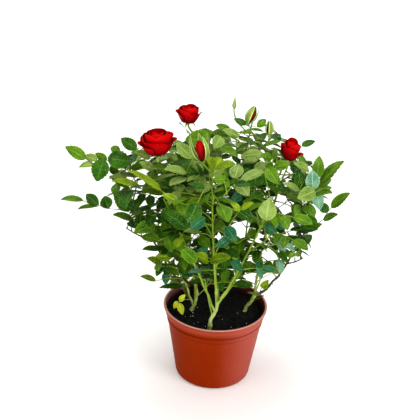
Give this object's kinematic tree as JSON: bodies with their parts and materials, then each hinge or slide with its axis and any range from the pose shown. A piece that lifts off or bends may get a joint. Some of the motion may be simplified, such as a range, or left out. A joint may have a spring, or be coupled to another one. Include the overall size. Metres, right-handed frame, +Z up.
{
  "type": "potted rose bush",
  "caption": "Miniature rose bush in a round flared plastic nursery pot: several thin green canes, compound leaves, red blooms and buds.",
  "frame": {"origin": "middle of the pot's flat underside", "axes": "+Z up along the pot's axis, -Y towards the side that faces the camera in the picture, +X to the right in the picture"},
  "size_m": [0.3446, 0.272, 0.3476],
  "materials": {
    "pot_plastic": "satin moulded plastic, terracotta colour",
    "peat": "damp dark peat mix with white perlite",
    "green_cane": "smooth green bark with thorns",
    "rose_leaf": "semi-gloss leaf",
    "young_leaf": "semi-gloss young leaf",
    "red_petal": "velvety petal",
    "green_bud": "matt sepal"
  },
  "bodies": {
    "root": {"back_stem": "green_cane", "bloom_centre": "red_petal", "bloom_left": "red_petal", "bloom_right": "red_petal", "bough_back_left": "green_cane", "bough_back_right": "green_cane", "bough_back_top": "green_cane", "bough_centre_top": "green_cane", "bough_far_left": "green_cane", "bough_far_right": "green_cane", "bough_front_centre": "green_cane", "bough_front_left": "green_cane", "bough_front_right": "green_cane", "bough_left_low": "green_cane", "bough_left_top": "green_cane", "bough_right_top": "green_cane", "bud_back_large": "green_bud", "bud_back_small": "green_bud", "bud_front": "red_petal", "bud_top": "green_bud", "foliage_back_left": "rose_leaf", "foliage_back_right": "rose_leaf", "foliage_back_top": "rose_leaf", "foliage_centre_top": "rose_leaf", "foliage_far_left": "rose_leaf", "foliage_far_right": "rose_leaf", "foliage_front_centre": "rose_leaf", "foliage_front_left": "rose_leaf", "foliage_front_right": "rose_leaf", "foliage_left_low": "rose_leaf", "foliage_left_top": "rose_leaf", "foliage_right_top": "rose_leaf", "front_stem": "green_cane", "left_stem": "green_cane", "pot": "pot_plastic", "potting_soil": "peat", "right_stem": "green_cane", "yellow_sprig": "young_leaf"}
  },
  "joints": []
}
